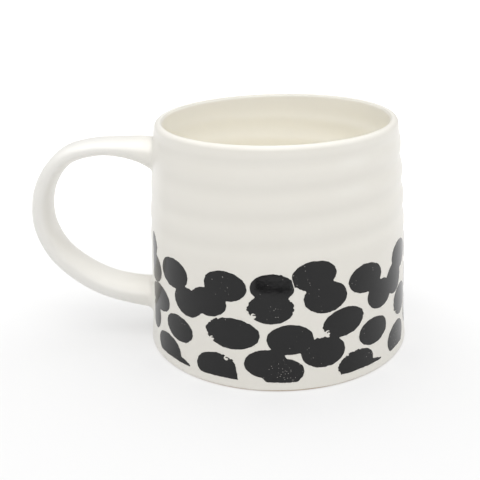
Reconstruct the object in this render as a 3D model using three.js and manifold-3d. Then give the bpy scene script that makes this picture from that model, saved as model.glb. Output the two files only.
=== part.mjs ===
// A wheel-thrown stoneware mug. The thrown cup and the pulled strap handle are joined with slip,
// the inside wears a cream liner glaze, the outside and the handle share one white glaze coat, and
// a band of black oval spots is printed round the lower wall, one thin film for each group of
// touching spots. Millimetres, +Z up. The origin is the centre of the flat base, on the table, and
// the handle points along -X.
import * as THREE from 'three';
import { mergeVertices } from 'three/addons/utils/BufferGeometryUtils.js';
import Module from 'manifold-3d';

const wasm = await Module();
wasm.setup();

// Driving dimensions
const HEIGHT = 80;
const WALL_RADII = [46.8, 45.65, 45.1, 44.3, 43.0, 41.5]; // outside, at even heights, base to top
const WALL_THICKNESS = 4.6;
const LIP_THICKNESS = 3;
const THINNING_HEIGHT = 62; // above this the wall thins towards the lip
const FLOOR_THICKNESS = 6;
const FLOOR_CORNER_RADIUS = 12;
const BASE_BEVEL = 0.8;

// Coats on the clay, all thicker than on a real mug so that each is a sound solid
const COAT_THICKNESS = 0.5;
const SLIP_THICKNESS = 0.5;
const INK_THICKNESS = 0.2;
const LAYER_GAP = 0.05;
const GLAZE_LINE = 1.2; // height above the table where the outer coat stops
// The coats meet at the lip's inner edge, in degrees round the lip from its outer side
const OUTER_COAT_END = 150;
const LINER_START = 152;

// Handle centre line as [distance from the mug's axis, height], top root to bottom root. Both ends
// lie inside the wall, where the handle is cut off.
const HANDLE_LINE = [
  [40, 67], [45.5, 69], [52.5, 70.2], [62.5, 70.4], [73.4, 67.2], [81.6, 56.8],
  [83.6, 43.7], [79.4, 32.2], [71.3, 24.1], [62.2, 18.9], [52.8, 16.2], [44.5, 15], [40, 14.7],
];
// Handle sections as [share of the length, half width, half thickness], glaze included
const HANDLE_SECTIONS = [
  [0, 9.4, 5.4], [0.06, 8.6, 4.0], [0.14, 7.9, 2.7], [0.33, 7.4, 3.1],
  [0.5, 7.2, 3.4], [0.7, 7.7, 3.6], [0.86, 8.6, 3.8], [0.95, 9.2, 4.4], [1, 10.2, 5.4],
];
const SECTION_ROUNDNESS = 2.5; // 2 is an oval, more is a flatter strap
const HANDLE_STEPS = 30;
const HANDLE_SIDES = 14;
const HANDLE_SPLIT_HEIGHT = 40; // between the two roots

// Facets
const TURNING_SEGMENTS = 40;
const WALL_STEPS = 4;
const LIP_STEPS = 6;
const CORNER_STEPS = 3;
const SPOT_CURVE_SEGMENTS = 8;

// The print. Each transfer sheet covers nearly half of the wall, and its groups of touching spots
// are listed from the sheet's cut left edge. A spot is [angle in degrees round the mug from the
// front, height, half width, half height, tilt in degrees].
const PRINT_FOOT = 3.4; // height of the sheet's straight lower edge
const PRINT_TOP = 50; // above the highest spot
const SHEET_LEFT_EDGE = -72;
const BACK_SHEET_TURN = 168;
const SHEET_GROUPS = [
  [[-74, 39.7, 7, 4.8, 0], [-68.5, 31.9, 6.7, 5.2, 0]],
  [[-63, 22.3, 8, 4.9, 0], [-68, 14.3, 4.5, 5.4, 0]],
  [[-54.5, 6.5, 7.6, 4.6, -5], [-46, 0.8, 7.2, 4.6, 0]],
  [[-49.4, 34.9, 7.4, 5.3, 0], [-40.6, 26.6, 6.5, 5.1, -8], [-29.8, 29, 7, 5, 0], [-21.8, 35.5, 7.5, 5.1, -5]],
  [[-46.6, 15.6, 7.1, 4.7, -5]],
  [[-18.9, 19.4, 9.4, 5.5, 0]],
  [[-26, 6.5, 7.8, 5.2, 0]],
  [[-2.1, 35.9, 7.1, 4.8, 0], [-2.8, 28.8, 7.5, 5.1, 0], [15, 39.3, 7.4, 5, 5], [19.8, 31.6, 7.5, 5.4, 0]],
  [[-5, 9.8, 7.2, 5, 4], [1.5, 7, 7.3, 4.8, 0], [4.9, 18.2, 7.6, 5.3, 0],
    [18.8, 12.7, 7.7, 5.3, 0], [28, 21.9, 7.8, 5, 7]],
  [[39.4, 34.8, 7.4, 5, 0], [48.3, 27.2, 6.6, 5.1, 0], [60, 29.5, 5.6, 5.7, 20], [66.2, 36.3, 6.8, 5.2, 0]],
  [[44, 15, 7.1, 4.8, 0]],
  [[34, 5.9, 7.5, 4.6, 5], [42.5, 0.4, 7.4, 4.6, 0]],
  [[68.2, 19.4, 6.9, 5.7, 0]],
  [[62.4, 7.1, 7.2, 5.3, 10]],
];
// Loose spots that fill the strip between the two sheets, opposite the handle
const SIDE_SPOTS = [[86, 34.5, 6.3, 4.8, 5], [86.4, 23.2, 6.4, 5, -4], [83.5, 10.6, 6.8, 5.2, 0]];

// Colours
const materials = {
  clay: new THREE.MeshStandardMaterial({ color: 0xcbbba6, roughness: 0.85, metalness: 0 }),
  slip: new THREE.MeshStandardMaterial({ color: 0xd6cab8, roughness: 0.9, metalness: 0 }),
  whiteGlaze: new THREE.MeshStandardMaterial({ color: 0xf0ece3, roughness: 0.35, metalness: 0 }),
  creamGlaze: new THREE.MeshStandardMaterial({ color: 0xeee6d0, roughness: 0.25, metalness: 0 }),
  blackPrint: new THREE.MeshStandardMaterial({ color: 0x26252a, roughness: 0.35, metalness: 0 }),
};

const mug = new THREE.Group();

function addMesh(name, geometry, material) {
  const mesh = new THREE.Mesh(geometry, material.clone());
  mesh.name = name;
  mug.add(mesh);
}

// Solids: every boolean cut and join goes through these two functions

function toSolid(geometry) {
  const bare = geometry.clone();
  bare.deleteAttribute('normal');
  bare.deleteAttribute('uv');
  const merged = mergeVertices(bare, 1e-4);
  const corners = merged.index.array;
  const triangles = [];
  for (let i = 0; i < corners.length; i += 3) {
    const [a, b, c] = [corners[i], corners[i + 1], corners[i + 2]];
    if (a !== b && b !== c && c !== a) triangles.push(a, b, c);
  }
  return new wasm.Manifold(new wasm.Mesh({
    numProp: 3,
    vertProperties: new Float32Array(merged.attributes.position.array),
    triVerts: new Uint32Array(triangles),
  }));
}

function toGeometry(solid) {
  const mesh = solid.getMesh();
  const geometry = new THREE.BufferGeometry();
  geometry.setAttribute('position', new THREE.BufferAttribute(mesh.vertProperties, 3));
  geometry.setIndex(new THREE.BufferAttribute(mesh.triVerts, 1));
  geometry.computeVertexNormals();
  return geometry;
}

// A block between two heights, wider than the mug
function slab(bottom, top) {
  const span = 8 * WALL_RADII[0];
  const box = new THREE.BoxGeometry(span, span, top - bottom);
  box.translate(0, 0, (top + bottom) / 2);
  return toSolid(box);
}

// Turned profiles: lists of [radius, height], drawn up the outside and down the inside

const wallCurve = new THREE.CubicInterpolant(
  WALL_RADII.map((radius, i) => (i * HEIGHT) / (WALL_RADII.length - 1)), WALL_RADII, 1);

function wallRadius(height) {
  return wallCurve.evaluate(height)[0];
}

const LIP_RADIUS = LIP_THICKNESS / 2;
const LIP_HEIGHT = HEIGHT - LIP_RADIUS;
const LIP_CENTRE = wallRadius(LIP_HEIGHT) - LIP_RADIUS;
const CORNER_HEIGHT = FLOOR_THICKNESS + FLOOR_CORNER_RADIUS;
const CORNER_CENTRE = wallRadius(CORNER_HEIGHT) - WALL_THICKNESS - FLOOR_CORNER_RADIUS;

function wallThickness(height) {
  const thinned = THREE.MathUtils.clamp((height - THINNING_HEIGHT) / (LIP_HEIGHT - THINNING_HEIGHT), 0, 1);
  return THREE.MathUtils.lerp(WALL_THICKNESS, LIP_THICKNESS, thinned);
}

// Outside of the wall, from the glaze line to the lip, moved into the clay by inset
function outside(inset) {
  const points = [];
  for (let i = 0; i <= WALL_STEPS; i++) {
    const height = GLAZE_LINE + ((LIP_HEIGHT - GLAZE_LINE) * i) / WALL_STEPS;
    points.push([wallRadius(height) - inset, height]);
  }
  return points;
}

// The round lip between two angles, 0 at its outer side and 180 at its inner side
function lip(inset, fromAngle, toAngle) {
  const points = [];
  const steps = Math.round((LIP_STEPS * (toAngle - fromAngle)) / 180);
  for (let i = 0; i <= steps; i++) {
    const angle = THREE.MathUtils.degToRad(fromAngle + ((toAngle - fromAngle) * i) / steps);
    const radius = LIP_RADIUS - inset;
    points.push([LIP_CENTRE + radius * Math.cos(angle), LIP_HEIGHT + radius * Math.sin(angle)]);
  }
  return points;
}

// Inside of the cup below the lip, down to the centre of the floor
function inside(inset) {
  const points = [];
  for (let i = 1; i < WALL_STEPS; i++) {
    const height = LIP_HEIGHT - ((LIP_HEIGHT - CORNER_HEIGHT) * i) / WALL_STEPS;
    points.push([wallRadius(height) - wallThickness(height) + inset, height]);
  }
  for (let i = 0; i <= CORNER_STEPS; i++) {
    const angle = ((Math.PI / 2) * i) / CORNER_STEPS;
    const radius = FLOOR_CORNER_RADIUS + inset;
    points.push([CORNER_CENTRE + radius * Math.cos(angle), CORNER_HEIGHT - radius * Math.sin(angle)]);
  }
  points.push([0, FLOOR_THICKNESS - inset]);
  return points;
}

function turned(profile) {
  const points = profile.map(([radius, height]) => new THREE.Vector2(radius, height));
  return new THREE.LatheGeometry(points, TURNING_SEGMENTS).rotateX(Math.PI / 2);
}

// Everything within the outside of the clay wall, grown by extra
function wallCore(extra) {
  const side = outside(COAT_THICKNESS - extra);
  const top = side[side.length - 1];
  return toSolid(turned([
    [0, -HEIGHT], [side[0][0], -HEIGHT], ...side, [top[0], 2 * HEIGHT], [0, 2 * HEIGHT],
  ]));
}

// A thin sleeve over the wall, between two distances out from the clay
function wallSleeve(inner, outer) {
  const outwards = outside(COAT_THICKNESS - outer);
  const inwards = outside(COAT_THICKNESS - inner).reverse();
  return toSolid(turned([...outwards, ...inwards, outwards[0]]));
}

// The cup and its liner

function cupBody() {
  const footRadius = wallRadius(0) - COAT_THICKNESS;
  return turned([
    [0, 0], [footRadius - BASE_BEVEL, 0], [footRadius, BASE_BEVEL],
    ...outside(COAT_THICKNESS),
    ...lip(COAT_THICKNESS, 0, 180).slice(1),
    ...inside(COAT_THICKNESS),
  ]);
}

function linerGlaze() {
  const underside = COAT_THICKNESS - LAYER_GAP;
  const inner = [...lip(underside, LINER_START, 180), ...inside(underside)];
  const outer = [...lip(0, LINER_START, 180), ...inside(0)];
  return turned([...inner.reverse(), ...outer]);
}

// The handle

const handleCurve = new THREE.CatmullRomCurve3(
  HANDLE_LINE.map(([distance, height]) => new THREE.Vector3(-distance, 0, height)));

function interpolant(column) {
  return new THREE.CubicInterpolant(
    HANDLE_SECTIONS.map((section) => section[0]), HANDLE_SECTIONS.map((section) => section[column]), 1);
}
const halfWidthAt = interpolant(1);
const halfThicknessAt = interpolant(2);

function flattened(value) {
  return Math.sign(value) * Math.abs(value) ** (2 / SECTION_ROUNDNESS);
}

// The strap as a loft of flattened oval rings, moved into the clay by inset
function strap(inset) {
  const positions = [];
  const triangles = [];
  const across = new THREE.Vector3(0, 1, 0);
  for (let step = 0; step <= HANDLE_STEPS; step++) {
    const share = step / HANDLE_STEPS;
    const centre = handleCurve.getPointAt(share);
    const outwards = handleCurve.getTangentAt(share).cross(across);
    const halfWidth = halfWidthAt.evaluate(share)[0] - inset;
    const halfThickness = halfThicknessAt.evaluate(share)[0] - inset;
    for (let side = 0; side < HANDLE_SIDES; side++) {
      const angle = (2 * Math.PI * side) / HANDLE_SIDES;
      const point = centre.clone()
        .addScaledVector(across, halfWidth * flattened(Math.cos(angle)))
        .addScaledVector(outwards, halfThickness * flattened(Math.sin(angle)));
      positions.push(...point.toArray());
    }
  }
  for (let step = 0; step < HANDLE_STEPS; step++) {
    for (let side = 0; side < HANDLE_SIDES; side++) {
      const here = step * HANDLE_SIDES + side;
      const beside = step * HANDLE_SIDES + ((side + 1) % HANDLE_SIDES);
      triangles.push(here, beside, here + HANDLE_SIDES);
      triangles.push(beside, beside + HANDLE_SIDES, here + HANDLE_SIDES);
    }
  }
  const lastRing = HANDLE_STEPS * HANDLE_SIDES;
  for (let side = 1; side < HANDLE_SIDES - 1; side++) {
    triangles.push(0, side + 1, side);
    triangles.push(lastRing, lastRing + side, lastRing + side + 1);
  }
  const geometry = new THREE.BufferGeometry();
  geometry.setAttribute('position', new THREE.Float32BufferAttribute(positions, 3));
  geometry.setIndex(triangles);
  return toSolid(geometry);
}

// Outside of the wall and over the lip to its inner edge
function outsideAndLip(inset) {
  return [...outside(inset), ...lip(inset, 0, OUTER_COAT_END).slice(1)];
}

// The outer coat: one skin over the wall and the handle, open where the handle meets the cup
function outerGlaze() {
  const outwards = outsideAndLip(0);
  const inwards = outsideAndLip(COAT_THICKNESS - LAYER_GAP).reverse();
  const wallCoat = toSolid(turned([...outwards, ...inwards, outwards[0]]));
  const coveredStrap = strap(0).subtract(wallCore(LAYER_GAP));
  return wallCoat.add(coveredStrap).subtract(strap(COAT_THICKNESS - LAYER_GAP));
}

// The print

// A film that covers the whole wall from the sheet's lower edge up, for the spots to be cut from
function inkFilm() {
  const inner = COAT_THICKNESS + LAYER_GAP;
  return wallSleeve(inner, inner + INK_THICKNESS).intersect(slab(PRINT_FOOT, PRINT_TOP));
}

// One oval pushed through the wall from the mug's axis, as a cutter
function spotCutter([angle, height, halfWidth, halfHeight, tilt]) {
  const oval = new THREE.Shape();
  oval.absellipse(0, 0, halfWidth, halfHeight, 0, 2 * Math.PI, false, THREE.MathUtils.degToRad(tilt));
  const cutter = new THREE.ExtrudeGeometry(oval, {
    depth: 2 * WALL_RADII[0], bevelEnabled: false, steps: 1, curveSegments: SPOT_CURVE_SEGMENTS,
  });
  cutter.rotateX(Math.PI / 2);
  cutter.translate(0, 0, height);
  cutter.rotateZ(THREE.MathUtils.degToRad(angle));
  return toSolid(cutter);
}

// Everything to the left of a sheet's cut edge, seen from outside the mug
function leftOfSheet(turn) {
  const reach = 4 * WALL_RADII[0];
  const block = new THREE.BoxGeometry(reach, reach, reach);
  block.translate(-reach / 2, -reach / 2, 0);
  block.rotateZ(THREE.MathUtils.degToRad(SHEET_LEFT_EDGE + turn));
  return toSolid(block);
}

function printGroup(name, film, spots, turn) {
  let cutter = spotCutter(spots[0]);
  for (const spot of spots.slice(1)) cutter = cutter.add(spotCutter(spot));
  const turnedCutter = cutter.rotate([0, 0, turn]);
  const group = film.intersect(turnedCutter).subtract(leftOfSheet(turn));
  addMesh(name, toGeometry(group), materials.blackPrint);
}

// Assembly

addMesh('cup_body', cupBody(), materials.clay);
addMesh('liner_glaze', linerGlaze(), materials.creamGlaze);

const clayStrap = strap(COAT_THICKNESS);
const slipSleeve = wallSleeve(LAYER_GAP, LAYER_GAP + SLIP_THICKNESS);
const slipPads = clayStrap.intersect(slipSleeve);
addMesh('handle', toGeometry(clayStrap.subtract(wallCore(SLIP_THICKNESS + 2 * LAYER_GAP))), materials.clay);
addMesh('upper_slip', toGeometry(slipPads.intersect(slab(HANDLE_SPLIT_HEIGHT, HEIGHT))), materials.slip);
addMesh('lower_slip', toGeometry(slipPads.intersect(slab(0, HANDLE_SPLIT_HEIGHT))), materials.slip);
addMesh('outer_glaze', toGeometry(outerGlaze()), materials.whiteGlaze);

const film = inkFilm();
SHEET_GROUPS.forEach((spots, i) => {
  printGroup(`front_spots_${i + 1}`, film, spots, 0);
  printGroup(`back_spots_${i + 1}`, film, spots, BACK_SHEET_TURN);
});
SIDE_SPOTS.forEach((spot, i) => printGroup(`side_spots_${i + 1}`, film, [spot], 0));

export default mug;
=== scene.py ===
"""Looks of a wheel-thrown stoneware mug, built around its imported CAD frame.

The coats are turned meshes with shallow throwing rings, the handle is a pulled strap that flares
into the wall, and each group of printed spots is a thin film that follows the same wall.
Everything is in metres in the frame of the CAD model: +Z up, the handle along -X. Angles round
the mug start at its front, -Y, and grow towards +X.
"""

import math

import bpy
import numpy as np
from mathutils import Matrix, Vector, noise


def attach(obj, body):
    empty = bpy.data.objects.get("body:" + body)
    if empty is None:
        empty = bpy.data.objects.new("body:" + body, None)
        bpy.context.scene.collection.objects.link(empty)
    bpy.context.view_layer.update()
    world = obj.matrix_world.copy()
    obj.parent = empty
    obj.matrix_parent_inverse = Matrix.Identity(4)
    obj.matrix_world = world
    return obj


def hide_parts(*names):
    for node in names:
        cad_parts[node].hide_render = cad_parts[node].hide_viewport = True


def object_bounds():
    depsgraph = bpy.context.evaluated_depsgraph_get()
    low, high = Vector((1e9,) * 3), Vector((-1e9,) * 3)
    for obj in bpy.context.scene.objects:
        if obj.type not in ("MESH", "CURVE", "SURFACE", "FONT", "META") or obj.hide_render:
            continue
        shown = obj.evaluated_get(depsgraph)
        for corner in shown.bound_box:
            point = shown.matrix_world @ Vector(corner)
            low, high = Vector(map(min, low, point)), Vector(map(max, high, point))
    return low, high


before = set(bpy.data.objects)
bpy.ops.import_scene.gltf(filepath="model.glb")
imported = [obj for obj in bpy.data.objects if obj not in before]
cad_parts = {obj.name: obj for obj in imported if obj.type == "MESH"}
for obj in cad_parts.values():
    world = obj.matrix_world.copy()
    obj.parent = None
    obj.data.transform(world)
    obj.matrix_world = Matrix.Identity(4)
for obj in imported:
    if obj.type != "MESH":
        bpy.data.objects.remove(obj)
cad_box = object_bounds()

MM = 0.001
TAU = 2 * math.pi

# ---------------------------------------------------------------------------------------------
# Sizes read from the frame


def node_points(node):
    """The vertices of a CAD node, one row each."""
    return np.array([v.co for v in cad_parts[node].data.vertices], float)


HEIGHT = cad_box[1].z
REACH = -cad_box[0].x
LIP_RADIUS = 1.5 * MM
LIP_HEIGHT = HEIGHT - LIP_RADIUS
WALL = 4.6 * MM
THINNING_HEIGHT = 62 * MM  # above this the wall thins towards the lip
LEVEL_STEP = 0.1  # millimetres; the turned rings of the CAD coat lie further apart than this


def wall_rings():
    """Heights of the outer coat's turned rings below the lip, and their outside radii."""
    points = node_points("outer_glaze")
    below_lip = points[(points[:, 0] > 0) & (points[:, 2] < LIP_HEIGHT + LEVEL_STEP * MM)]
    radii = np.hypot(below_lip[:, 0], below_lip[:, 1])
    levels = np.round(below_lip[:, 2] / (LEVEL_STEP * MM)).astype(int)
    heights = np.unique(levels)
    return heights * LEVEL_STEP * MM, np.array([radii[levels == h].max() for h in heights])


ring_heights, ring_radii = wall_rings()
WALL_CURVE = np.polyfit(ring_heights / MM, ring_radii / MM, len(ring_heights) - 1)
liner_points = node_points("liner_glaze")
FLOOR = liner_points[np.hypot(liner_points[:, 0], liner_points[:, 1]) < MM][:, 2].max()


def plain_wall_radius(height):
    """Outside radius of the glazed wall with no relief."""
    return np.polyval(WALL_CURVE, np.asarray(height, float) / MM) * MM


# ---------------------------------------------------------------------------------------------
# Relief left by the potter's fingers

RING_PITCH = 9.2 * MM
RING_DEPTH = 0.30 * MM
RING_PHASE = 0.7
RINGS_ABOVE_FOOT = (2 * MM, 14 * MM)  # the rings grow between these heights
RINGS_ABOVE_PRINT = (38 * MM, 49 * MM)  # and again where the smoothed print zone ends
RINGS_FADE_HEIGHT = 75 * MM  # from here they fade out to the lip
PRINT_ZONE_RINGS = 0.08  # the share of the rings' depth left under the print
INSIDE_RING_PITCH = 8.2 * MM
INSIDE_RING_DEPTH = 0.22 * MM
INSIDE_RING_PHASE = 0.4
INSIDE_RINGS_RISE = 14 * MM  # the inside rings grow over this height above the floor
INSIDE_RINGS_FADE = (71 * MM, 77 * MM)
OUT_OF_ROUND = 0.12 * MM
LIP_WAVER = 0.08 * MM
LIP_EASE = 0.4 * MM  # how far the wall leans in as it rounds into the lip
LIP_EASE_SPAN = 5 * MM


def ramp(value, start, end):
    """0 before start, 1 after end and smooth between."""
    t = np.clip((np.asarray(value, float) - start) / (end - start), 0, 1)
    return t * t * (3 - 2 * t)


def throwing_rings(angle, height, pitch, depth, phase):
    """One spiral groove per pitch, uneven in depth round the pot and up it."""
    turn = height / pitch - angle / TAU
    drift = 0.3 * np.sin(angle + 90 * height) + 0.2 * np.sin(2 * angle - 160 * height)
    strength = 0.75 + 0.25 * np.sin(angle + 2.1 + 70 * height)
    groove = TAU * turn + phase + drift
    return depth * strength * (0.125 * np.cos(2 * groove) - np.sin(groove))


def oval_drift(angle, height):
    """The pot is slightly out of round, more so towards its rim."""
    return OUT_OF_ROUND * np.cos(2 * angle + 0.8) * ramp(height, 0, HEIGHT)


def lip_share(height):
    """0 up to where the wall starts to lean in, and 1 at the top of the lip."""
    return np.clip((np.asarray(height, float) - HEIGHT + LIP_EASE_SPAN) / LIP_EASE_SPAN, 0, 1)


def wall_radius(angle, height):
    """Outside radius of the glazed wall, rings included."""
    rings = throwing_rings(angle, height, RING_PITCH, RING_DEPTH, RING_PHASE)
    strength = ramp(height, *RINGS_ABOVE_FOOT) * (1 - ramp(height, RINGS_FADE_HEIGHT, LIP_HEIGHT))
    above_print = ramp(height, *RINGS_ABOVE_PRINT)
    strength = strength * (PRINT_ZONE_RINGS + (1 - PRINT_ZONE_RINGS) * above_print)
    lean = LIP_EASE * lip_share(height) ** 2
    return plain_wall_radius(height) + rings * strength + oval_drift(angle, height) - lean


def inside_relief(angle, height):
    """How far the inside of the wall lies from a plain turned surface."""
    rings = throwing_rings(angle, height, INSIDE_RING_PITCH, INSIDE_RING_DEPTH, INSIDE_RING_PHASE)
    strength = ramp(height, FLOOR, FLOOR + INSIDE_RINGS_RISE) * (1 - ramp(height, *INSIDE_RINGS_FADE))
    return rings * strength + oval_drift(angle, height)


def lip_waver(angle, height):
    """The rim is not quite level, and the wall below follows it."""
    waver = np.sin(angle + 0.5) + 0.6 * np.sin(3 * angle + 1.1) - 1.6
    return LIP_WAVER * waver * ramp(height, 0, LIP_HEIGHT)


def round_point(angle, radius, height):
    """A point at an angle round the mug."""
    return np.stack([radius * np.sin(angle), -radius * np.cos(angle), height + 0 * angle], -1)


# ---------------------------------------------------------------------------------------------
# Mesh helpers


def add_piece(name, vertices, faces, material, replaced, crease_angle=None):
    """A smooth mesh piece that rides on the mug and stands for CAD nodes."""
    mesh = bpy.data.meshes.new(name)
    mesh.from_pydata(np.asarray(vertices).tolist(), [], faces)
    mesh.polygons.foreach_set("use_smooth", [True] * len(mesh.polygons))
    if crease_angle is not None:
        mesh.set_sharp_from_angle(angle=crease_angle)
    mesh.materials.append(material)
    mesh.update()
    piece = bpy.data.objects.new(name, mesh)
    bpy.context.scene.collection.objects.link(piece)
    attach(piece, "root")
    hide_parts(*replaced)
    return piece


def ring_faces(rings, sides, closed=False):
    """Quads between rings of the same number of points; closed joins the last to the first."""
    faces = []
    for ring in range(rings if closed else rings - 1):
        here = ring * sides
        there = ((ring + 1) % rings) * sides
        for side in range(sides):
            beside = (side + 1) % sides
            faces.append((here + side, here + beside, there + beside, there + side))
    return faces


def cap_faces(first_centre, last_ring, last_centre, sides):
    """Triangles that close the first and the last ring onto two centre points."""
    faces = []
    for side in range(sides):
        beside = (side + 1) % sides
        faces.append((first_centre, beside, side))
        faces.append((last_centre, last_ring + side, last_ring + beside))
    return faces


TURNING_SIDES = 240
turning_angles = np.arange(TURNING_SIDES) * TAU / TURNING_SIDES


def turned(name, profile, material, replaced):
    """A turned solid. The profile is a list of functions from angles to (radius, height), up the
    outside and down the inside. It is a closed loop, or starts and ends on the mug's axis."""
    rings = [round_point(turning_angles, *point_at(turning_angles)) for point_at in profile]
    on_axis = np.hypot(rings[0][:, 0], rings[0][:, 1]).max() < 0.01 * MM
    if not on_axis:
        faces = ring_faces(len(rings), TURNING_SIDES, closed=True)
        return add_piece(name, np.concatenate(rings), faces, material, replaced)
    body = rings[1:-1]
    centres = [rings[0][:1], rings[-1][:1]]
    count = len(body) * TURNING_SIDES
    faces = ring_faces(len(body), TURNING_SIDES)
    faces += cap_faces(count, count - TURNING_SIDES, count + 1, TURNING_SIDES)
    return add_piece(name, np.concatenate(body + centres), faces, material, replaced)


# ---------------------------------------------------------------------------------------------
# Materials


def add_node(tree, kind, inputs=None, **settings):
    """A shader node with its settings and inputs; an input given as a socket is linked."""
    node = tree.nodes.new(kind)
    for key, value in settings.items():
        setattr(node, key, value)
    for key, value in (inputs or {}).items():
        if isinstance(value, bpy.types.NodeSocket):
            tree.links.new(value, node.inputs[key])
        else:
            node.inputs[key].default_value = value
    return node


def new_material(name):
    """A node material, its tree and its shader."""
    material = bpy.data.materials.new(name)
    material.use_nodes = True
    tree = material.node_tree
    return material, tree, tree.nodes["Principled BSDF"]


def steps(tree, value, stops):
    """A colour ramp from (position, grey) stops."""
    node = add_node(tree, "ShaderNodeValToRGB", {"Fac": value})
    elements = node.color_ramp.elements
    while len(elements) < len(stops):
        elements.new(0.5)
    for element, (position, grey) in zip(elements, stops):
        element.position = position
        element.color = (grey, grey, grey, 1)
    return node.outputs["Color"]


def fine_noise(tree, place, scale, detail=3.0, roughness=0.55):
    inputs = {"Vector": place, "Scale": scale, "Detail": detail, "Roughness": roughness}
    return add_node(tree, "ShaderNodeTexNoise", inputs).outputs["Fac"]


def mixed(tree, factor, first, second):
    """A mix of two colours; each part may be a value or a socket."""
    node = add_node(tree, "ShaderNodeMix", data_type="RGBA")
    for index, value in ((0, factor), (6, first), (7, second)):
        if isinstance(value, bpy.types.NodeSocket):
            tree.links.new(value, node.inputs[index])
        else:
            node.inputs[index].default_value = value if index == 0 else (*value, 1)
    return node.outputs[2]


def bumped(tree, shader, height, distance):
    """Relief on the shader's normal, distance deep."""
    node = add_node(tree, "ShaderNodeBump", {"Height": height, "Distance": distance})
    tree.links.new(node.outputs["Normal"], shader.inputs["Normal"])


def object_place(tree):
    return add_node(tree, "ShaderNodeTexCoord").outputs["Object"]


# Colour runs from one tone to the other between these noise values
CLOUD_STOPS = [(0.3, 0.0), (0.7, 1.0)]
PEEL_SCALE = 420
PEEL_DEPTH = 0.02 * MM
GRAIN_DEPTH = 0.08 * MM
SPECK_BROWN = (0.30, 0.22, 0.15)
SPECK_SCALE = 55.0
SPECK_SIZE = 0.014
# Painted light: from here outwards along -X, towards the handle, the white glaze takes a lighter,
# more neutral colour
HANDLE_LIGHTENING_START = -0.36 * REACH
HANDLE_LIGHTENING_END = -0.72 * REACH
HANDLE_LIGHTENING_SHARE = 0.8
PINHOLE_SCALE = 1250.0
PINHOLE_TONE = (0.40, 0.385, 0.36)


def orange_peel(tree, shader, place):
    """The faint dimples of a fired glaze."""
    bumped(tree, shader, fine_noise(tree, place, PEEL_SCALE, 2), PEEL_DEPTH)


def glaze(name, thick, thin, roughness, ior, speck_strength, handle_painted_light=None):
    """Satin glaze: clouded colour, a faint orange-peel surface and a few tiny iron specks. Towards
    the handle, along -X, a lighter and more neutral colour is mixed in: painted light for the
    brighter light there."""
    material, tree, shader = new_material(name)
    place = object_place(tree)
    clouds = steps(tree, fine_noise(tree, place, 45, 4), CLOUD_STOPS)
    colour = mixed(tree, clouds, thick, thin)
    # painted light: a lighter colour mixed in along -X, towards the handle
    if handle_painted_light:
        limits = {"Value": add_node(tree, "ShaderNodeSeparateXYZ", {"Vector": place}).outputs["X"]}
        limits.update({"From Min": HANDLE_LIGHTENING_START, "From Max": HANDLE_LIGHTENING_END})
        limits["To Max"] = HANDLE_LIGHTENING_SHARE
        share = add_node(tree, "ShaderNodeMapRange", limits).outputs["Result"]
        colour = mixed(tree, share, colour, handle_painted_light)
    cells = add_node(tree, "ShaderNodeTexVoronoi", {"Vector": place, "Scale": SPECK_SCALE})
    specks = steps(tree, cells.outputs["Distance"], [(0.0, speck_strength), (SPECK_SIZE, 0.0)])
    colour = mixed(tree, specks, colour, SPECK_BROWN)
    tree.links.new(colour, shader.inputs["Base Color"])
    sheen = fine_noise(tree, place, 250, 2)
    stops = [(0.3, roughness - 0.03), (0.7, roughness + 0.04)]
    tree.links.new(steps(tree, sheen, stops), shader.inputs["Roughness"])
    shader.inputs["IOR"].default_value = ior
    orange_peel(tree, shader, place)
    return material


def bare_clay(name, light, dark):
    """Unglazed stoneware: grainy, with fine dark grog."""
    material, tree, shader = new_material(name)
    place = object_place(tree)
    grain = fine_noise(tree, place, 900, 6, 0.7)
    tone = mixed(tree, steps(tree, grain, CLOUD_STOPS), dark, light)
    tree.links.new(tone, shader.inputs["Base Color"])
    shader.inputs["Roughness"].default_value = 0.85
    bumped(tree, shader, grain, GRAIN_DEPTH)
    return material


def black_print(name):
    """Black print under a clear glaze: uneven ink, and pinholes where the white shows through."""
    material, tree, shader = new_material(name)
    place = object_place(tree)
    clouds = fine_noise(tree, place, 180, 5, 0.65)
    ink_tone = mixed(tree, clouds, (0.003, 0.003, 0.0032), (0.011, 0.0108, 0.0113))
    cells = add_node(tree, "ShaderNodeTexVoronoi", {"Vector": place, "Scale": PINHOLE_SCALE})
    pinholes = steps(tree, cells.outputs["Distance"], [(0.0, 1.0), (0.10, 0.9), (0.20, 0.0)])
    patches = steps(tree, fine_noise(tree, place, 70, 2), [(0.49, 0.03), (0.63, 0.5)])
    picks = {0: cells.outputs["Color"], 1: patches}
    lone = add_node(tree, "ShaderNodeMath", picks, operation="LESS_THAN").outputs[0]
    holes = {0: lone, 1: pinholes}
    open_holes = add_node(tree, "ShaderNodeMath", holes, operation="MULTIPLY").outputs[0]
    colour = mixed(tree, open_holes, ink_tone, PINHOLE_TONE)
    tree.links.new(colour, shader.inputs["Base Color"])
    sheen = steps(tree, fine_noise(tree, place, 120, 3), [(0.3, 0.07), (0.7, 0.13)])
    tree.links.new(sheen, shader.inputs["Roughness"])
    shader.inputs["IOR"].default_value = 1.41
    orange_peel(tree, shader, place)
    return material


# the white glaze's lighter colour towards the handle is painted light
white_glaze = glaze(
    "white_glaze", thick=(0.842, 0.816, 0.752), thin=(0.852, 0.828, 0.767),
    roughness=0.32, ior=1.45, speck_strength=0.5, handle_painted_light=(0.875, 0.863, 0.828))
cream_glaze = glaze(
    "cream_glaze", thick=(0.928, 0.908, 0.845), thin=(0.938, 0.918, 0.857),
    roughness=0.315, ior=1.45, speck_strength=0.3)
clay = bare_clay("bare_stoneware", (0.58, 0.45, 0.33), (0.42, 0.31, 0.21))
slip_clay = bare_clay("joining_slip", (0.70, 0.62, 0.50), (0.58, 0.50, 0.40))
ink = black_print("black_print")

# ---------------------------------------------------------------------------------------------
# The cup: clay, liner glaze and outer glaze

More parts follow.
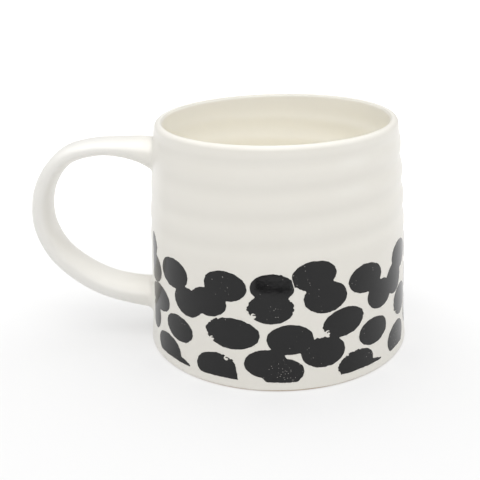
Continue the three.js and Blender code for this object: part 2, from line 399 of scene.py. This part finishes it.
COAT = 0.45 * MM
TUCK = 1.1 * COAT  # how deep a coat's hidden side lies, just inside the clay
FOOT_BEVEL = 0.5 * MM
FOOT_RECESS = 0.35 * MM
FOOT_STEPS = 6
STAND_WIDTH = 4.5 * MM  # the flat ring that the mug stands on
RECESS_SLOPE = 3 * MM
GLAZE_EDGE = 0.42 * MM
EDGE_WANDER = 0.12 * MM
BEAD_HEIGHT = 0.5 * MM
# The outer coat's lower edge: (share of the bead's height, depth under the coat's surface)
FOOT_BEAD = [(0.0, TUCK), (0.12, 0.5 * COAT), (0.4, 0.15 * COAT), (1.0, 0.0)]
SEAM = math.radians(132)  # where the two coats meet, as a turn round the lip
SEAM_WANDER = math.radians(3)
SEAM_MARGIN = math.radians(8)  # the outer coat starts to thin out this far before the seam
# How it thins out: (turn past the seam in degrees, depth under the coat's surface)
SEAM_TAPER = [(-3, 0.03 * MM), (0, 0.12 * MM), (2, TUCK)]
LINER_TUCK = math.radians(12)  # how far the liner runs under the outer coat
LINER_RISE = math.radians(6)  # it reaches its full thickness this far past the seam
LINER_INSET = 0.02 * MM
SWIRL_DEPTH = 0.15 * MM
SWIRL_PITCH = 7 * MM
SWIRL_FADE = 8 * MM
CORNER_RADIUS = 12 * MM
CORNER_HEIGHT = FLOOR + CORNER_RADIUS
CORNER_CENTRE = float(plain_wall_radius(CORNER_HEIGHT)) - WALL - CORNER_RADIUS
LIP_CENTRE = float(plain_wall_radius(LIP_HEIGHT)) - LIP_RADIUS
OUTSIDE_STEPS = 100
HIDDEN_STEPS = 40
INSIDE_STEPS = 90
ARC_STEPS = 18


def edge_wander(angle):
    """How the edge of the outer coat wanders round the mug, from about -1 to 1."""
    waves = np.sin(5 * angle + 1) + 0.7 * np.sin(11 * angle) + 0.5 * np.sin(23 * angle + 2)
    return waves / 2.2


def flat_at(radius, height):
    """A plain circle."""
    return lambda angle: (radius + 0 * angle, height + 0 * angle)


def outside_at(height, inset):
    """A ring of the outside wall, inset from the glaze's surface."""
    return lambda angle: (wall_radius(angle, height) - inset, height + lip_waver(angle, height))


def lip_at(turn, inset, wander=0.0):
    """turn is 0 at the outer side of the lip and half a turn at its inner side."""
    size = LIP_RADIUS - inset

    def point_at(angle):
        here = turn + wander * edge_wander(angle)
        height = LIP_HEIGHT + size * np.sin(here)
        lean = np.where(here < math.pi / 2, lip_share(height) ** 2, np.sin(here) ** 2)
        radius = LIP_CENTRE + oval_drift(angle, LIP_HEIGHT) + size * np.cos(here) - LIP_EASE * lean
        return radius, height + lip_waver(angle, LIP_HEIGHT)
    return point_at


def wall_thickness(height):
    """Full up to THINNING_HEIGHT, then thinner towards the lip."""
    thinned = np.clip((height - THINNING_HEIGHT) / (LIP_HEIGHT - THINNING_HEIGHT), 0, 1)
    return WALL + (2 * LIP_RADIUS - WALL) * thinned


def inside_at(height, inset):
    """A ring of the inside wall, inset into the clay."""
    def point_at(angle):
        thickness = wall_thickness(height)
        radius = plain_wall_radius(height) - thickness + inset + inside_relief(angle, height)
        return radius, height + lip_waver(angle, height)
    return point_at


def corner_at(turn, inset):
    """turn is 0 where the corner leaves the wall and a quarter turn where it meets the floor."""
    size = CORNER_RADIUS + inset
    height = CORNER_HEIGHT - size * math.sin(turn)

    def point_at(angle):
        relief = inside_relief(angle, height) * math.cos(turn)
        return CORNER_CENTRE + size * math.cos(turn) + relief, height + lip_waver(angle, height)
    return point_at


def floor_at(radius, inset):
    """The floor, with the shallow spiral that fingers leave as they open the clay."""
    def point_at(angle):
        swirl = SWIRL_DEPTH * np.sin(TAU * radius / SWIRL_PITCH - angle) * ramp(radius, 0, SWIRL_FADE)
        swirl = swirl * (1 - ramp(radius, CORNER_CENTRE - SWIRL_FADE, CORNER_CENTRE))
        return radius + 0 * angle, FLOOR - inset + swirl + lip_waver(angle, FLOOR)
    return point_at


def outside_profile(inset, bottom, count):
    """Rings up the outside wall, from bottom to the start of the lip."""
    return [outside_at(h, inset) for h in np.linspace(bottom, LIP_HEIGHT, count)]


def lip_profile(inset, start, end):
    """The lip between two turns, both ends included."""
    count = max(3, round(ARC_STEPS * (end - start) / math.pi))
    return [lip_at(t, inset) for t in np.linspace(start, end, count)]


def inside_profile(inset, count):
    """Rings down the inside wall, round its corner and in to the middle of the floor."""
    wall = [inside_at(h, inset) for h in np.linspace(LIP_HEIGHT, CORNER_HEIGHT, count)[1:-1]]
    corner = [corner_at(t, inset) for t in np.linspace(0, math.pi / 2, ARC_STEPS)]
    floor = [floor_at(r, inset) for r in np.linspace(CORNER_CENTRE, 0, ARC_STEPS)[1:]]
    return wall + corner + floor


def foot_profile():
    """The bare foot: a shallow turned recess, a flat ring to stand on and a rounded edge."""
    foot = float(plain_wall_radius(0)) - COAT
    stand = foot - STAND_WIDTH
    profile = [flat_at(0, FOOT_RECESS), flat_at(stand - RECESS_SLOPE, FOOT_RECESS), flat_at(stand, 0)]
    for turn in np.linspace(0, math.pi / 2, FOOT_STEPS):
        reach = FOOT_BEVEL * (1 - math.sin(turn))
        profile.append(flat_at(foot - reach, FOOT_BEVEL * (1 - math.cos(turn))))
    return profile


def make_cup_clay():
    """The thrown clay, a coat's depth under the glaze."""
    profile = foot_profile() + outside_profile(COAT, 2 * FOOT_BEVEL, HIDDEN_STEPS)
    profile += lip_profile(COAT, 0, math.pi)[1:] + inside_profile(COAT, HIDDEN_STEPS)
    turned("cup_clay", profile, clay, ["cup_body"])


def glaze_edge_at(share, inset):
    """The lower edge of the outer coat, a soft bead that wanders a little round the foot."""
    def point_at(angle):
        height = GLAZE_EDGE + EDGE_WANDER * edge_wander(angle) + share * BEAD_HEIGHT
        return wall_radius(angle, height) - inset, height
    return point_at


def make_outer_coat():
    """From the foot up the wall and over the lip, where it thins out on the liner."""
    profile = [glaze_edge_at(share, inset) for share, inset in FOOT_BEAD]
    profile += outside_profile(0, GLAZE_EDGE + MM, OUTSIDE_STEPS)
    profile += lip_profile(0, 0, SEAM - SEAM_MARGIN)[1:]
    profile += [lip_at(SEAM + math.radians(turn), inset, SEAM_WANDER) for turn, inset in SEAM_TAPER]
    profile += lip_profile(TUCK, 0, SEAM - SEAM_MARGIN)[:0:-1]
    profile += outside_profile(TUCK, GLAZE_EDGE + MM, HIDDEN_STEPS)[::-1]
    turned("outer_coat", profile, white_glaze, ["outer_glaze"])


def make_liner():
    """Inside of the cup, its edge tucked under the outer coat at the lip's inner edge."""
    start = SEAM - LINER_TUCK
    hidden = lip_profile(TUCK, start, math.pi) + inside_profile(TUCK, HIDDEN_STEPS)
    shown = [lip_at(start + math.radians(1), 0.25 * MM), lip_at(SEAM - math.radians(5), 0.08 * MM)]
    shown += lip_profile(LINER_INSET, SEAM + LINER_RISE, math.pi)
    shown += inside_profile(LINER_INSET, INSIDE_STEPS)
    turned("liner_coat", hidden[::-1] + shown, cream_glaze, ["liner_glaze"])


# ---------------------------------------------------------------------------------------------
# The handle

# Centre line of the strap, top root to bottom root, as shares of the handle's reach from the
# mug's axis and of the mug's height. Both ends lie inside the wall.
HANDLE_PATH = [
    (0.460, 0.838), (0.523, 0.8625), (0.603, 0.8775), (0.718, 0.880), (0.843, 0.840),
    (0.938, 0.710), (0.961, 0.546), (0.912, 0.4025), (0.819, 0.301), (0.715, 0.236),
    (0.607, 0.2025), (0.511, 0.1875), (0.460, 0.184),
]
# Sections as (share of the length, half width, half thickness), coat included
HANDLE_SECTIONS = [
    (0, 9.4 * MM, 5.4 * MM), (0.06, 8.6 * MM, 4.0 * MM), (0.14, 7.9 * MM, 2.7 * MM),
    (0.33, 7.4 * MM, 3.1 * MM), (0.5, 7.2 * MM, 3.4 * MM), (0.7, 7.7 * MM, 3.6 * MM),
    (0.86, 8.6 * MM, 3.8 * MM), (0.95, 9.2 * MM, 4.4 * MM), (1, 10.2 * MM, 5.4 * MM),
]
SECTION_ROUNDNESS = 2.5  # 2 is an oval, more is a flatter strap
HANDLE_SIDES = 64
HANDLE_RINGS = 120
PATH_SAMPLES = 600
PATH_SPAN_STEPS = 60
SECTION_SPAN_STEPS = 20
FILLET_STEPS = 8
UPPER_FILLET = 1.6 * MM
LOWER_FILLET = 2.6 * MM
FILLET_EDGE = 0.01 * MM  # depth of a fillet's edge under the wall's surface
ROOT_TUCK = 0.3 * MM  # depth of the coat's hidden end under the wall's surface
ROOT_SPREAD = 0.5 * MM  # and how far it runs on past the fillet's edge
PULL_WAVER = 0.10 * MM


def smooth_curve(points, per_span):
    """A centripetal Catmull-Rom curve through points, as many samples for each span."""
    points = np.array(points, float)
    ends = [2 * points[0] - points[1], *points, 2 * points[-1] - points[-2]]
    curve = []
    for p0, p1, p2, p3 in zip(ends, ends[1:], ends[2:], ends[3:]):
        t0 = 0.0
        t1 = t0 + math.sqrt(np.linalg.norm(p1 - p0))
        t2 = t1 + math.sqrt(np.linalg.norm(p2 - p1))
        t3 = t2 + math.sqrt(np.linalg.norm(p3 - p2))
        for t in np.linspace(t1, t2, per_span, endpoint=False):
            a1 = ((t1 - t) * p0 + (t - t0) * p1) / (t1 - t0)
            a2 = ((t2 - t) * p1 + (t - t1) * p2) / (t2 - t1)
            a3 = ((t3 - t) * p2 + (t - t2) * p3) / (t3 - t2)
            b1 = ((t2 - t) * a1 + (t - t0) * a2) / (t2 - t0)
            b2 = ((t3 - t) * a2 + (t - t1) * a3) / (t3 - t1)
            curve.append(((t2 - t) * b1 + (t - t1) * b2) / (t2 - t1))
    return np.array(curve + [points[-1]])


def handle_spine():
    """Evenly spaced points down the strap's centre line and the directions out of its top face."""
    path = [(-share * REACH, up * HEIGHT) for share, up in HANDLE_PATH]
    line = smooth_curve(path, PATH_SPAN_STEPS)
    length = np.concatenate([[0], np.cumsum(np.linalg.norm(np.diff(line, axis=0), axis=1))])
    along = np.linspace(0, length[-1], PATH_SAMPLES)
    centres = np.stack([np.interp(along, length, line[:, axis]) for axis in range(2)], -1)
    tangents = np.gradient(centres, axis=0)
    tangents /= np.linalg.norm(tangents, axis=1)[:, None]
    return centres, np.stack([tangents[:, 1], -tangents[:, 0]], -1), length[-1]


def flattened(value):
    """A sine or cosine bent from an oval towards a flatter strap."""
    return np.sign(value) * np.abs(value) ** (2 / SECTION_ROUNDNESS)


def strap_lines(inset):
    """The strap's surface as one line down it for each side: sides x samples x 3."""
    centres, outwards, _ = handle_spine()
    shares = np.linspace(0, 1, PATH_SAMPLES)
    sections = smooth_curve(HANDLE_SECTIONS, SECTION_SPAN_STEPS)
    half_width = np.interp(shares, sections[:, 0], sections[:, 1]) - inset
    half_thickness = np.interp(shares, sections[:, 0], sections[:, 2]) - inset
    half_width = half_width + PULL_WAVER * np.sin(17 * shares + 1) * np.sin(math.pi * shares)
    lines = []
    for side in range(HANDLE_SIDES):
        turn = TAU * side / HANDLE_SIDES
        across = -half_width * flattened(math.cos(turn))
        lift = half_thickness * flattened(math.sin(turn))
        flat = centres + outwards * lift[:, None]
        lines.append(np.stack([flat[:, 0], across, flat[:, 1]], -1))
    return np.array(lines)


def depth_in_wall(points):
    """How far points lie inside the wall's outer surface; negative outside it."""
    angles = np.arctan2(points[..., 0], -points[..., 1])
    return wall_radius(angles, points[..., 2]) - np.hypot(points[..., 0], points[..., 1])


def meeting(line, depth):
    """Where one of the strap's lines comes out of the wall and goes back in, as sample numbers."""
    buried = depth_in_wall(line) - depth
    middle = PATH_SAMPLES // 2
    start = np.nonzero(buried[:middle] > 0)[0][-1]
    end = middle + np.nonzero(buried[middle:] > 0)[0][0]
    start_part = buried[start] / (buried[start] - buried[start + 1])
    end_part = buried[end] / (buried[end] - buried[end - 1])
    return start + start_part, end - end_part


def sampled(line, places):
    """Points of a line at fractional sample numbers."""
    numbers = np.arange(PATH_SAMPLES)
    return np.stack([np.interp(places, numbers, line[:, axis]) for axis in range(3)], -1)


def plain_strap(inset, depth):
    """Rings of the strap cut off at a depth in the wall: rings x sides x 3."""
    columns = []
    for line in strap_lines(inset):
        start, end = meeting(line, depth)
        columns.append(sampled(line, np.linspace(start, end, HANDLE_RINGS)))
    return np.array(columns).transpose(1, 0, 2)


def on_wall(points, sink):
    """Points moved radially onto the wall, or under its surface by sink."""
    angles = np.arctan2(points[:, 0], -points[:, 1])
    return round_point(angles, wall_radius(angles, points[:, 2]) - sink, points[:, 2])


def flared_end(contacts, inner, fillet):
    """Rings of a fillet from under the wall's surface to the ring called inner."""
    centre = contacts.mean(axis=0)
    normal = np.array([centre[0], centre[1], 0]) / math.hypot(centre[0], centre[1])
    away = contacts - centre
    away = away - (away @ normal)[:, None] * normal
    away = away / np.linalg.norm(away, axis=1)[:, None]
    sunk = on_wall(contacts + away * (fillet + ROOT_SPREAD), ROOT_TUCK)
    edge = on_wall(contacts + away * fillet, FILLET_EDGE)
    rings = [sunk]
    for t in np.linspace(0, 1, FILLET_STEPS, endpoint=False):
        rings.append((1 - t) ** 2 * edge + 2 * t * (1 - t) * contacts + t * t * inner)
    return rings


def flared_strap():
    """Rings of the coat's outer surface, with a fillet at both roots."""
    length = handle_spine()[2]
    per_metre = (PATH_SAMPLES - 1) / length
    lines = strap_lines(0)
    ends = [meeting(line, 0) for line in lines]
    starts = np.array([sampled(line, [start])[0] for line, (start, _) in zip(lines, ends)])
    finishes = np.array([sampled(line, [end])[0] for line, (_, end) in zip(lines, ends)])
    columns = []
    for line, (start, end) in zip(lines, ends):
        first = start + UPPER_FILLET * per_metre
        last = end - LOWER_FILLET * per_metre
        columns.append(sampled(line, np.linspace(first, last, HANDLE_RINGS)))
    body = list(np.array(columns).transpose(1, 0, 2))
    upper = flared_end(starts, body[0], UPPER_FILLET)
    lower = flared_end(finishes, body[-1], LOWER_FILLET)
    return upper + body + lower[::-1]


def make_handle_coat():
    """The white coat over the strap, which runs out onto the wall at both roots."""
    rings = flared_strap() + list(plain_strap(TUCK, ROOT_TUCK))[::-1]
    faces = ring_faces(len(rings), HANDLE_SIDES, closed=True)
    surface = np.concatenate(rings)
    add_piece("handle_coat", surface, faces, white_glaze, ["outer_glaze"])


def make_handle_clay():
    """The pulled strap of clay under the coat."""
    rings = list(plain_strap(COAT, 0))
    count = len(rings) * HANDLE_SIDES
    centres = [rings[0].mean(axis=0)[None], rings[-1].mean(axis=0)[None]]
    faces = ring_faces(len(rings), HANDLE_SIDES)
    faces += cap_faces(count, count - HANDLE_SIDES, count + 1, HANDLE_SIDES)
    surface = np.concatenate(rings + centres)
    add_piece("handle_clay", surface, faces, clay, ["handle"])


# ---------------------------------------------------------------------------------------------
# The print. Lengths in this section are millimetres on the wall, unrolled at PRINT_RADIUS.

PRINT_RADIUS = float(plain_wall_radius(0.25 * HEIGHT)) / MM
CELL = 0.25
MARGIN = 1.2
OUTLINE_BLUR = 1.3  # cells
FILM_PROUD = 0.05 * MM
FILM_SUNK = 0.06 * MM
CREASE = math.radians(50)
# Unevenness of an ink edge: (movement everywhere, more where it frays, width of a feature)
EDGE_NOISE = [(0.16, 0.0, 2.4), (0.08, 0.55, 0.8), (0.0, 0.25, 1.9)]
STRAY_FRAY = 0.35  # how much an edge frays at most away from the places in FRAYS
STRAY_FRAY_SIZE = 6.0
NOISE_LAYERS = 10.0  # each group has its own noise, this many layers apart
CURL_HALF_WIDTH = 0.17
# Flaws in the artwork, by group number: small bites with a curl of ink left in them, as shares
# across and up the group's box, with a radius
BITES = {
    6: [(0.12, 0.24, 0.8)],
    7: [(0.73, 0.84, 0.8)],
    8: [(0.062, 0.13, 0.9)],
    9: [(0.664, 0.675, 0.9)],
    13: [(0.14, 0.18, 0.8)],
}
# Places where the edge frays, by group number, with a radius
FRAYS = {
    5: [(0.8, 0.0, 2.5)],
    6: [(0.2, 0.85, 4.0), (0.0, 0.5, 3.0)],
    7: [(0.75, 0.85, 3.0)],
    8: [(0.0, 0.25, 3.5), (0.42, 0.3, 3.0)],
    9: [(0.62, 0.66, 3.5), (0.6, 0.3, 2.0)],
    12: [(0.0, 0.2, 4.0), (0.3, 0.95, 4.0)],
    13: [(0.0, 0.4, 3.0)],
}
# Sheets are cut straight beside these groups: shares across the box at its top and bottom
CUTS = {7: (0.90, 1.0)}
CUT_CORNER = 3.0  # how far the ink fills the corner between the cut and the sheet's lower edge
CUT_NOISE = (0.12, 1.2)
# Thin gaps between spots that almost touch: both ends, as shares of the group's box
GAPS = {8: ((0.463, 0.549), (0.427, 0.78))}
GAP = 0.3


def outer_triangles(node):
    """A film node's outer triangles, unrolled: (position round the wall, height) of corners."""
    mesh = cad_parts[node].data
    points = node_points(node) / MM
    middle = points.mean(axis=0)
    middle_angle = math.atan2(middle[0], -middle[1])
    angles = np.arctan2(points[:, 0], -points[:, 1]) - middle_angle
    angles = (angles + math.pi) % TAU - math.pi + middle_angle
    unrolled = np.stack([angles * PRINT_RADIUS, points[:, 2]], -1)
    mesh.calc_loop_triangles()
    triangles = []
    for triangle in mesh.loop_triangles:
        a, b, c = (points[i] for i in triangle.vertices)
        normal = np.cross(b - a, c - a)
        size = np.linalg.norm(normal)
        radial = np.array([a[0], a[1], 0]) / math.hypot(a[0], a[1])
        if size > 0 and normal @ radial > 0.5 * size:
            triangles.append(unrolled[list(triangle.vertices)])
    return np.array(triangles)


def border(triangles):
    """The edges that only one triangle has, as pairs of points."""
    seen = {}
    for triangle in triangles:
        keys = [tuple(np.round(corner, 3)) for corner in triangle]
        for start, end in ((0, 1), (1, 2), (2, 0)):
            key = frozenset((keys[start], keys[end]))
            seen.setdefault(key, []).append((triangle[start], triangle[end]))
    return np.array([found[0] for key, found in seen.items() if len(found) == 1 and len(key) == 2])


def inside_distance(edges, across, up):
    """Distance from grid points to the nearest edge, positive inside the outline."""
    nearest = np.full(across.shape, 1e9)
    crossings = np.zeros(across.shape, int)
    for (x0, y0), (x1, y1) in edges:
        dx, dy = x1 - x0, y1 - y0
        t = np.clip(((across - x0) * dx + (up - y0) * dy) / (dx * dx + dy * dy), 0, 1)
        nearest = np.minimum(nearest, np.hypot(across - x0 - t * dx, up - y0 - t * dy))
        spans = (y0 > up) != (y1 > up)
        with np.errstate(divide="ignore", invalid="ignore"):
            crossings += spans & (across < x0 + (up - y0) * dx / dy)
    return np.where(crossings % 2 == 1, nearest, -nearest)


def blurred(field, sigma):
    """A field smoothed with a bell curve, sigma in cells."""
    reach = int(3 * sigma) + 1
    weights = np.exp(-0.5 * (np.arange(-reach, reach + 1) / sigma) ** 2)
    weights /= weights.sum()
    for axis in (0, 1):
        padded = np.pad(field, [(reach, reach) if a == axis else (0, 0) for a in (0, 1)], "edge")
        field = np.apply_along_axis(lambda row: np.convolve(row, weights, "valid"), axis, padded)
    return field


def noise_field(across, up, size, layer):
    """Smooth noise from -1 to 1 whose features are about size millimetres wide."""
    values = [noise.noise(Vector((x / size, y / size, layer))) for x, y in zip(across.flat, up.flat)]
    return np.array(values).reshape(across.shape)


def frayed(field, across, up, at, group):
    """An ink field with an uneven edge, roughest at the group's frayed places."""
    layer = NOISE_LAYERS * group
    fray = STRAY_FRAY * ramp(noise_field(across, up, STRAY_FRAY_SIZE, layer), 0.15, 0.5)
    for share_across, share_up, size in FRAYS.get(group, []):
        x, y = at(share_across, share_up)
        fray = np.maximum(fray, 1 - ramp(np.hypot(across - x, up - y), 0.4 * size, size))
    for step, (everywhere, more, size) in enumerate(EDGE_NOISE, start=1):
        field = field + (everywhere + more * fray) * noise_field(across, up, size, layer + step)
    return field


def bitten(field, across, up, at, group):
    """An ink field with the group's bites, each with a curl of ink left in it."""
    for share_across, share_up, size in BITES.get(group, []):
        x, y = at(share_across, share_up)
        field = np.minimum(field, np.hypot(across - x, up - y) - size)
        from_curl = np.abs(np.hypot(across - x - 0.3 * size, up - y + 0.1) - 0.5 * size)
        field = np.maximum(field, np.where(up > y - 0.1 * size, CURL_HALF_WIDTH - from_curl, -1))
    return field


def cut_straight(field, across, up, low, high, group):
    """An ink field ended by the sheet's upright edge, with a sharp inked corner at its foot."""
    top, bottom = CUTS[group]
    share = (up - low[1]) / (high[1] - low[1])
    room = low[0] + (high[0] - low[0]) * (bottom + (top - bottom) * share) - across
    corner = np.minimum(up - low[1], CUT_CORNER - np.maximum(room, up - low[1]))
    movement, size = CUT_NOISE
    layer = NOISE_LAYERS * group + len(EDGE_NOISE) + 1
    rough_room = room + movement * noise_field(across, up, size, layer)
    return np.minimum(np.maximum(field, corner), rough_room)


def ink_field(node, group):
    """Where a group's ink lies: grid positions and a field that is positive in the ink."""
    edges = border(outer_triangles(node))
    low = edges.reshape(-1, 2).min(axis=0)
    high = edges.reshape(-1, 2).max(axis=0)
    columns = np.arange(low[0] - MARGIN, high[0] + MARGIN, CELL)
    rows = np.arange(low[1] - MARGIN, high[1] + MARGIN, CELL)
    across, up = np.meshgrid(columns, rows)

    def at(share_across, share_up):
        return low + (high - low) * (share_across, share_up)

    field = blurred(inside_distance(edges, across, up), OUTLINE_BLUR)
    field = frayed(field, across, up, at, group)
    field = bitten(field, across, up, at, group)
    if group in CUTS:
        field = cut_straight(field, across, up, low, high, group)
    if group in GAPS:
        gap_ends = np.array([[at(*GAPS[group][0]), at(*GAPS[group][1])]])
        field = np.minimum(field, np.abs(inside_distance(gap_ends, across, up)) - GAP / 2)
    return columns, rows, field


def contour_cells(columns, rows, field):
    """The part of the grid where the field is positive: points and polygons, edges cut exactly."""
    points = []
    numbers = {}

    def corner(i, j):
        if ("corner", i, j) not in numbers:
            numbers["corner", i, j] = len(points)
            points.append((columns[i], rows[j]))
        return numbers["corner", i, j]

    def crossing(i0, j0, i1, j1):
        key = ("crossing", min((i0, j0), (i1, j1)), max((i0, j0), (i1, j1)))
        if key not in numbers:
            first, second = field[j0, i0], field[j1, i1]
            t = min(max(first / (first - second), 0.02), 0.98)
            numbers[key] = len(points)
            points.append((columns[i0] + t * (columns[i1] - columns[i0]),
                           rows[j0] + t * (rows[j1] - rows[j0])))
        return numbers[key]

    polygons = []
    inked = field > 0
    touched = inked[:-1, :-1] | inked[1:, :-1] | inked[:-1, 1:] | inked[1:, 1:]
    for j, i in zip(*np.nonzero(touched)):
        corners = [(i, j), (i + 1, j), (i + 1, j + 1), (i, j + 1)]
        polygon = []
        for here, there in zip(corners, corners[1:] + corners[:1]):
            if inked[here[1], here[0]]:
                polygon.append(corner(*here))
            if inked[here[1], here[0]] != inked[there[1], there[0]]:
                polygon.append(crossing(*here, *there))
        polygons.append(polygon)
    return np.array(points), polygons


def border_edges(polygons):
    """Directed edges that only one polygon has."""
    directed = {(a, b) for p in polygons for a, b in zip(p, p[1:] + p[:1])}
    return [(a, b) for a, b in directed if (b, a) not in directed]


def make_film(node, group):
    """One group of spots as a closed film, slightly proud of the wall."""
    points, polygons = contour_cells(*ink_field(node, group))
    angles = points[:, 0] / PRINT_RADIUS
    heights = points[:, 1] * MM
    radii = wall_radius(angles, heights)
    lifts = lip_waver(angles, heights)
    outer = round_point(angles, radii + FILM_PROUD, heights + lifts)
    inner = round_point(angles, radii - FILM_SUNK, heights + lifts)
    count = len(points)
    faces = polygons + [[i + count for i in reversed(p)] for p in polygons]
    faces += [[b, a, a + count, b + count] for a, b in sorted(border_edges(polygons))]
    surface = np.concatenate([outer, inner])
    add_piece("ink_" + node, surface, faces, ink, [node], CREASE)


def make_print():
    """Every group of spots. Both sheets have the same flaws; the side spots are only uneven."""
    for node in sorted(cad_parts):
        if "_spots_" in node:
            make_film(node, int(node.split("_")[-1]) if "side" not in node else 0)


# ---------------------------------------------------------------------------------------------
# The carried-over CAD nodes


def finish_slips():
    """The two slip joints keep their CAD shape and get a clay of their own."""
    for node in ("upper_slip", "lower_slip"):
        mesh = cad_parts[node].data
        mesh.materials.clear()
        mesh.materials.append(slip_clay)


# ---------------------------------------------------------------------------------------------
# Stage, light and camera

FLOOR_SPAN = 8.0
# The floor's glow is painted light: it emits light, dimmest at GLOW_FRONT in front of the mug
GLOW_FRONT = (-0.03, -0.14, 0)  # the floor's dimmest point, in front of the mug
GLOW_START = 0.12  # distances from it between which the glow grows
GLOW_END = 0.36
GLOW_NEAR = 0.46
GLOW_FAR = 0.80
# A dark strip in front of the mug, just above the floor, for a painted dark reflection
CARD_CORNERS = [(-0.040, -0.149, MM), (0.024, -0.149, MM), (0.024, -0.137, MM), (-0.040, -0.137, MM)]
SKY_LOW = 0.22  # how bright the room is at the horizon, overhead and where the camera sees it
SKY_HIGH = 2.5
SKY_TO_CAMERA = 1.05
LIGHT_TARGET = (0, 0, 0.04)
CAMERA_BACK = 276.6 * MM
CAMERA_UP = 141.8 * MM
CAMERA_TURN = math.radians(2.75)
CAMERA_PITCH = math.radians(21.13)
CAMERA_ROLL = math.radians(-1.66)
CAMERA_LENS = 61.6


def flat_sheet(name, corners, material):
    """A four-cornered part of the stage."""
    mesh = bpy.data.meshes.new(name)
    mesh.from_pydata(corners, [], [(0, 1, 2, 3)])
    mesh.materials.append(material)
    sheet = bpy.data.objects.new(name, mesh)
    bpy.context.scene.collection.objects.link(sheet)
    return sheet


def make_floor():
    """A pale floor that glows: painted light, a little less in front of the mug."""
    material, tree, shader = new_material("pale_floor")
    shader.inputs["Base Color"].default_value = (0.42, 0.42, 0.42, 1)
    shader.inputs["Roughness"].default_value = 0.9
    shader.inputs["Specular IOR Level"].default_value = 0.0
    # painted light: the floor emits more the further it lies from GLOW_FRONT
    shader.inputs["Emission Color"].default_value = (1, 1, 1, 1)
    ends = {0: object_place(tree), 1: GLOW_FRONT}
    away = add_node(tree, "ShaderNodeVectorMath", ends, operation="DISTANCE").outputs["Value"]
    limits = {"Value": away, "From Min": GLOW_START, "From Max": GLOW_END}
    limits.update({"To Min": GLOW_NEAR, "To Max": GLOW_FAR})
    glow = add_node(tree, "ShaderNodeMapRange", limits, interpolation_type="SMOOTHSTEP")
    tree.links.new(glow.outputs["Result"], shader.inputs["Emission Strength"])
    half = FLOOR_SPAN / 2
    corners = [(-half, -half, 0), (half, -half, 0), (half, half, 0), (-half, half, 0)]
    flat_sheet("floor", corners, material)


def make_dark_card():
    """A painted dark reflection: a dark strip in front of the mug, seen only in the glaze's
    reflections.
    """
    material, _, shader = new_material("dark_card")
    shader.inputs["Base Color"].default_value = (0.01, 0.01, 0.01, 1)
    shader.inputs["Specular IOR Level"].default_value = 0.0
    card = flat_sheet("dark_card", CARD_CORNERS, material)
    card.visible_camera = False
    card.visible_diffuse = False
    card.visible_shadow = False


def soft_light(name, place, size, power, colour=(1, 1, 1)):
    """A disc lamp that faces the mug."""
    light = bpy.data.lights.new(name, "AREA")
    light.shape = "DISK"
    light.size = size
    light.energy = power
    light.color = colour
    lamp = bpy.data.objects.new(name, light)
    bpy.context.scene.collection.objects.link(lamp)
    lamp.location = place
    lamp.rotation_mode = "QUATERNION"
    lamp.rotation_quaternion = (Vector(LIGHT_TARGET) - Vector(place)).to_track_quat("-Z", "Y")
    return lamp


def make_world():
    """A white room, brightest overhead and dimmer on its front side. The camera sees it white."""
    world = bpy.data.worlds.new("tent")
    world.use_nodes = True
    tree = world.node_tree
    background = tree.nodes["Background"]
    background.inputs["Color"].default_value = (1, 1, 1, 1)
    direction = add_node(tree, "ShaderNodeTexCoord").outputs["Generated"]
    axes = add_node(tree, "ShaderNodeSeparateXYZ", {"Vector": direction}).outputs
    cubed = add_node(tree, "ShaderNodeMath", {0: axes["Z"], 1: 3.0}, operation="POWER").outputs[0]
    limits = {"Value": cubed, "To Min": SKY_LOW, "To Max": SKY_HIGH}
    height = add_node(tree, "ShaderNodeMapRange", limits).outputs["Result"]
    limits = {"Value": axes["Y"], "From Min": -0.9, "From Max": 0.3, "To Min": 0.85, "To Max": 1.0}
    depth = add_node(tree, "ShaderNodeMapRange", limits).outputs["Result"]
    light = add_node(tree, "ShaderNodeMath", {0: height, 1: depth}, operation="MULTIPLY").outputs[0]
    seen = add_node(tree, "ShaderNodeLightPath").outputs["Is Camera Ray"]
    strength = add_node(tree, "ShaderNodeMix", {0: seen, 2: light, 3: SKY_TO_CAMERA}).outputs[0]
    tree.links.new(strength, background.inputs["Strength"])
    bpy.context.scene.world = world


def make_camera():
    """The photograph's viewing angle."""
    data = bpy.data.cameras.new("camera")
    data.sensor_width = 36
    data.lens = CAMERA_LENS
    data.clip_start = 0.01
    data.clip_end = 50
    camera = bpy.data.objects.new("camera", data)
    bpy.context.scene.collection.objects.link(camera)
    turn = Matrix.Rotation(CAMERA_TURN, 4, "Z")
    tilt = Matrix.Rotation(math.pi / 2 - CAMERA_PITCH, 4, "X")
    roll = Matrix.Rotation(CAMERA_ROLL, 4, "Z")
    camera.matrix_world = Matrix.Translation((0, -CAMERA_BACK, CAMERA_UP)) @ turn @ tilt @ roll
    bpy.context.scene.camera = camera


make_cup_clay()
make_outer_coat()
make_liner()
make_handle_clay()
make_handle_coat()
make_print()
finish_slips()
make_floor()
make_dark_card()
make_world()
soft_light("key", (0.05, -0.5, 0.9), 0.90, 2.2)
cool_window = soft_light("cool_window", (0.75, -0.25, 0.35), 0.5, 0.7, (0.72, 0.87, 1.0))
cool_window.visible_diffuse = False
make_camera()
bpy.context.scene.view_settings.view_transform = "Standard"
bpy.context.scene.cycles.diffuse_bounces = 10  # the inside of the cup is lit by its own walls
